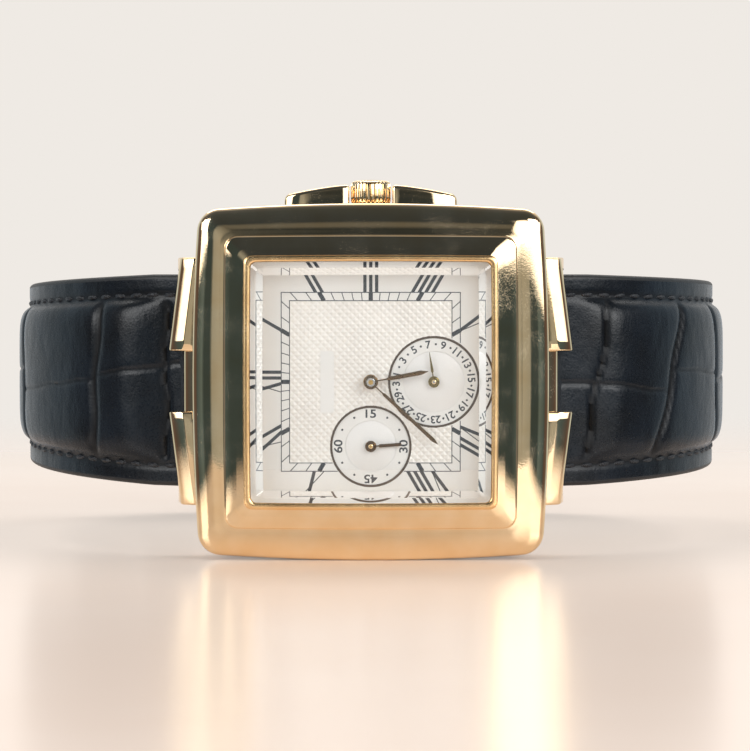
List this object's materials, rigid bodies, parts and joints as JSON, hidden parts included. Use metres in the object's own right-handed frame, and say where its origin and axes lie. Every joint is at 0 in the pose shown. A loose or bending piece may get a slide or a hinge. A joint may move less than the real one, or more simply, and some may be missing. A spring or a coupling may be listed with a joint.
{
  "type": "automatic wrist watch",
  "caption": "Automatic wrist watch: stepped square gold-tone case, date hand and small seconds, padded leather strap closed with a tongue buckle.",
  "frame": {"origin": "centre of the outer face of the case back", "axes": "+X towards 6 o'clock, +Z towards 3 o'clock and the crown, dial faces -Y, the strap loop runs to +Y"},
  "size_m": [0.076, 0.0675, 0.0378],
  "materials": {
    "gold": "polished",
    "steel": "polished",
    "plate": "plated",
    "train_brass": "brushed",
    "crystal": "polished",
    "dial": "satin",
    "seal_plastic": "satin",
    "seal_rubber": "matte",
    "spring": "blued",
    "leather": "grained"
  },
  "bodies": {
    "watch": {"case_middle": "gold", "bezel": "gold", "crystal": "crystal", "crystal_seal": "seal_plastic", "inner_ring": "gold", "dial": "dial", "case_back": "gold", "back_seal": "seal_rubber", "back_screws": "steel", "movement_ring": "plate", "mainplate": "plate", "train_bridge": "plate", "balance_cock": "plate", "hairspring": "spring", "rotor_bearing": "steel", "crown_tube": "gold", "crown_seal": "seal_rubber", "spring_bars": "steel", "strap_short": "leather", "strap_long": "leather", "keeper_fixed": "leather", "buckle_frame": "gold", "buckle_bar": "steel"},
    "winding_gear": {"clutch_wheel": "steel", "winding_pinion": "steel"},
    "crown_and_stem": {"crown": "gold", "stem": "steel"},
    "winding_wheel": {"crown_wheel": "steel"},
    "ratchet": {"ratchet_wheel": "steel"},
    "minute_train": {"minute_hand": "gold", "cannon_pinion": "steel", "centre_wheel": "train_brass"},
    "hour_train": {"hour_hand": "gold", "hour_wheel": "train_brass"},
    "minute_wheel_body": {"minute_wheel": "train_brass"},
    "barrel_body": {"barrel": "train_brass"},
    "third_body": {"third_wheel": "train_brass"},
    "seconds_train": {"seconds_hand": "gold", "fourth_wheel": "train_brass"},
    "escape_body": {"escape_wheel": "steel"},
    "lever": {"pallet_fork": "steel"},
    "balance": {"balance_wheel": "train_brass"},
    "date_train": {"date_hand": "gold", "date_wheel": "steel"},
    "rotor_body": {"rotor": "train_brass"},
    "tongue": {"buckle_tongue": "gold"},
    "loose_keeper": {"keeper_loose": "leather"}
  },
  "joints": [
    {"name": "crown_turn", "type": "hinge", "parent": "watch", "child": "winding_gear", "pos_m": [0, -0.0042, 0.015], "axis": [0, 0, 1], "continuous": true},
    {"name": "crown_pull", "type": "slide", "parent": "winding_gear", "child": "crown_and_stem", "axis": [0, 0, 1], "range_m": [0, 0.0012]},
    {"name": "crown_wheel_turn", "type": "hinge", "parent": "watch", "child": "winding_wheel", "pos_m": [0, -0.0026, 0.0066], "axis": [0, 1, 0], "continuous": true},
    {"name": "ratchet_turn", "type": "hinge", "parent": "watch", "child": "ratchet", "pos_m": [0.00547, -0.0026, 0.00291], "axis": [0, 1, 0], "continuous": true},
    {"name": "minute_hand_turn", "type": "hinge", "parent": "watch", "child": "minute_train", "pos_m": [0, -0.007, 0], "axis": [0, 1, 0], "continuous": true},
    {"name": "hour_hand_turn", "type": "hinge", "parent": "watch", "child": "hour_train", "pos_m": [0, -0.007, 0], "axis": [0, 1, 0], "continuous": true},
    {"name": "minute_wheel_turn", "type": "hinge", "parent": "watch", "child": "minute_wheel_body", "pos_m": [-0.00204, -0.0061, 0.00204], "axis": [0, 1, 0], "continuous": true},
    {"name": "barrel_turn", "type": "hinge", "parent": "watch", "child": "barrel_body", "pos_m": [0.00547, -0.0045, 0.00291], "axis": [0, 1, 0], "continuous": true},
    {"name": "third_wheel_turn", "type": "hinge", "parent": "watch", "child": "third_body", "pos_m": [-0.00285, -0.0042, -0.00348], "axis": [0, 1, 0], "continuous": true},
    {"name": "seconds_hand_turn", "type": "hinge", "parent": "watch", "child": "seconds_train", "pos_m": [0, -0.005, -0.0064], "axis": [0, 1, 0], "continuous": true},
    {"name": "escape_wheel_turn", "type": "hinge", "parent": "watch", "child": "escape_body", "pos_m": [-0.0033, -0.0045, -0.00744], "axis": [0, 1, 0], "continuous": true},
    {"name": "lever_swing", "type": "hinge", "parent": "watch", "child": "lever", "pos_m": [-0.00493, -0.0045, -0.00523], "axis": [0, 1, 0], "range_deg": [-4, 4]},
    {"name": "balance_swing", "type": "hinge", "parent": "watch", "child": "balance", "pos_m": [-0.00686, -0.0039, -0.00261], "axis": [0, 1, 0], "range_deg": [-270, 270], "stiffness_Nm_per_rad": 0.0000002},
    {"name": "date_hand_turn", "type": "hinge", "parent": "watch", "child": "date_train", "pos_m": [0.00626, -0.0065, 0], "axis": [0, 1, 0], "continuous": true},
    {"name": "rotor_turn", "type": "hinge", "parent": "watch", "child": "rotor_body", "pos_m": [0, -0.002, 0], "axis": [0, 1, 0], "continuous": true},
    {"name": "tongue_swing", "type": "hinge", "parent": "watch", "child": "tongue", "pos_m": [-0.012, 0.0505, 0], "axis": [0, 0, 1], "range_deg": [0, 10]},
    {"name": "loose_keeper_slide", "type": "hinge", "parent": "watch", "child": "loose_keeper", "pos_m": [-0.0138, 0.0285, 0], "axis": [0, 0, 1], "range_deg": [-8, 9]}
  ],
  "couplings": [
    {"joint": "crown_wheel_turn", "follows": "crown_turn", "ratio": -0.44737},
    {"joint": "ratchet_turn", "follows": "crown_turn", "ratio": 0.37778},
    {"joint": "hour_hand_turn", "follows": "minute_hand_turn", "ratio": 0.083333},
    {"joint": "minute_wheel_turn", "follows": "minute_hand_turn", "ratio": -0.33333},
    {"joint": "barrel_turn", "follows": "minute_hand_turn", "ratio": -0.125},
    {"joint": "third_wheel_turn", "follows": "minute_hand_turn", "ratio": -8},
    {"joint": "seconds_hand_turn", "follows": "minute_hand_turn", "ratio": 60}
  ]
}
